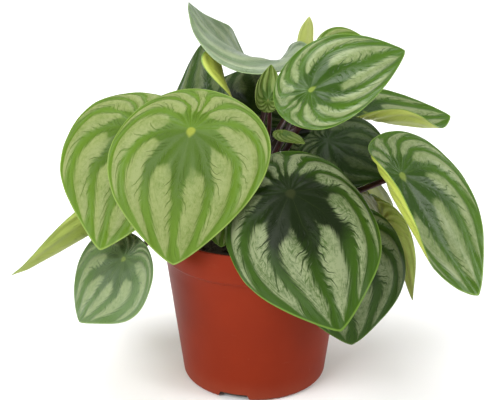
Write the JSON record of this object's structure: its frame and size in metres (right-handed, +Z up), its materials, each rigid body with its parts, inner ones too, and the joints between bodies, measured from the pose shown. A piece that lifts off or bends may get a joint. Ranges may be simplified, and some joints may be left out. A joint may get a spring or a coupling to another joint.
{
  "type": "potted peperomia",
  "caption": "Bushy house plant with shield-shaped, silver-striped leaves on round stalks, growing from a crown in a tapered plastic nursery pot filled with compost.",
  "frame": {"origin": "centre of the pot's foot, on the surface that the pot stands on", "axes": "+Z up along the pot's axis, -Y towards the plant's front, +X to the right of a viewer in front"},
  "size_m": [0.2879, 0.2195, 0.2219],
  "materials": {
    "pot": "terracotta-brown, satin, injection moulded",
    "compost": "dark, rough, moist peat compost",
    "crown": "rough brown-green stem tissue",
    "petiole": "smooth, fleshy, maroon",
    "leaf_light": "fleshy, satin, light green bands on silver-green",
    "leaf_mid": "fleshy, satin, mid green bands on silver-green",
    "leaf_dark": "fleshy, satin, dark green bands on silver-green",
    "leaf_young": "soft, matt, yellow-green young leaf"
  },
  "bodies": {
    "root": {"pot": "pot", "compost": "compost", "crown": "crown", "leaf_front_left": "leaf_light", "petiole_front_left": "petiole", "leaf_left": "leaf_light", "petiole_left": "petiole", "leaf_front_right": "leaf_dark", "petiole_front_right": "petiole", "leaf_upper_right": "leaf_mid", "petiole_upper_right": "petiole", "leaf_right": "leaf_mid", "petiole_right": "petiole", "leaf_inner_right": "leaf_dark", "petiole_inner_right": "petiole", "leaf_low_right": "leaf_dark", "petiole_low_right": "petiole", "leaf_low_left": "leaf_mid", "petiole_low_left": "petiole", "leaf_far_left": "leaf_light", "petiole_far_left": "petiole", "leaf_top": "leaf_mid", "petiole_top": "petiole", "leaf_high_right": "leaf_mid", "petiole_high_right": "petiole", "leaf_shoot": "leaf_young", "petiole_shoot": "petiole", "leaf_crest": "leaf_light", "petiole_crest": "petiole", "leaf_upper_left": "leaf_mid", "petiole_upper_left": "petiole", "leaf_hanging_right": "leaf_light", "petiole_hanging_right": "petiole", "leaf_front_low": "leaf_light", "petiole_front_low": "petiole", "leaf_back_left": "leaf_light", "petiole_back_left": "petiole", "leaf_back": "leaf_dark", "petiole_back": "petiole", "leaf_back_right": "leaf_mid", "petiole_back_right": "petiole", "leaf_low_back_left": "leaf_mid", "petiole_low_back_left": "petiole", "leaf_low_back_right": "leaf_dark", "petiole_low_back_right": "petiole", "leaf_low_back": "leaf_light", "petiole_low_back": "petiole", "leaf_inner_back": "leaf_dark", "petiole_inner_back": "petiole", "leaf_young_front": "leaf_young", "petiole_young_front": "petiole", "leaf_young_inner": "leaf_young", "petiole_young_inner": "petiole"}
  },
  "joints": []
}
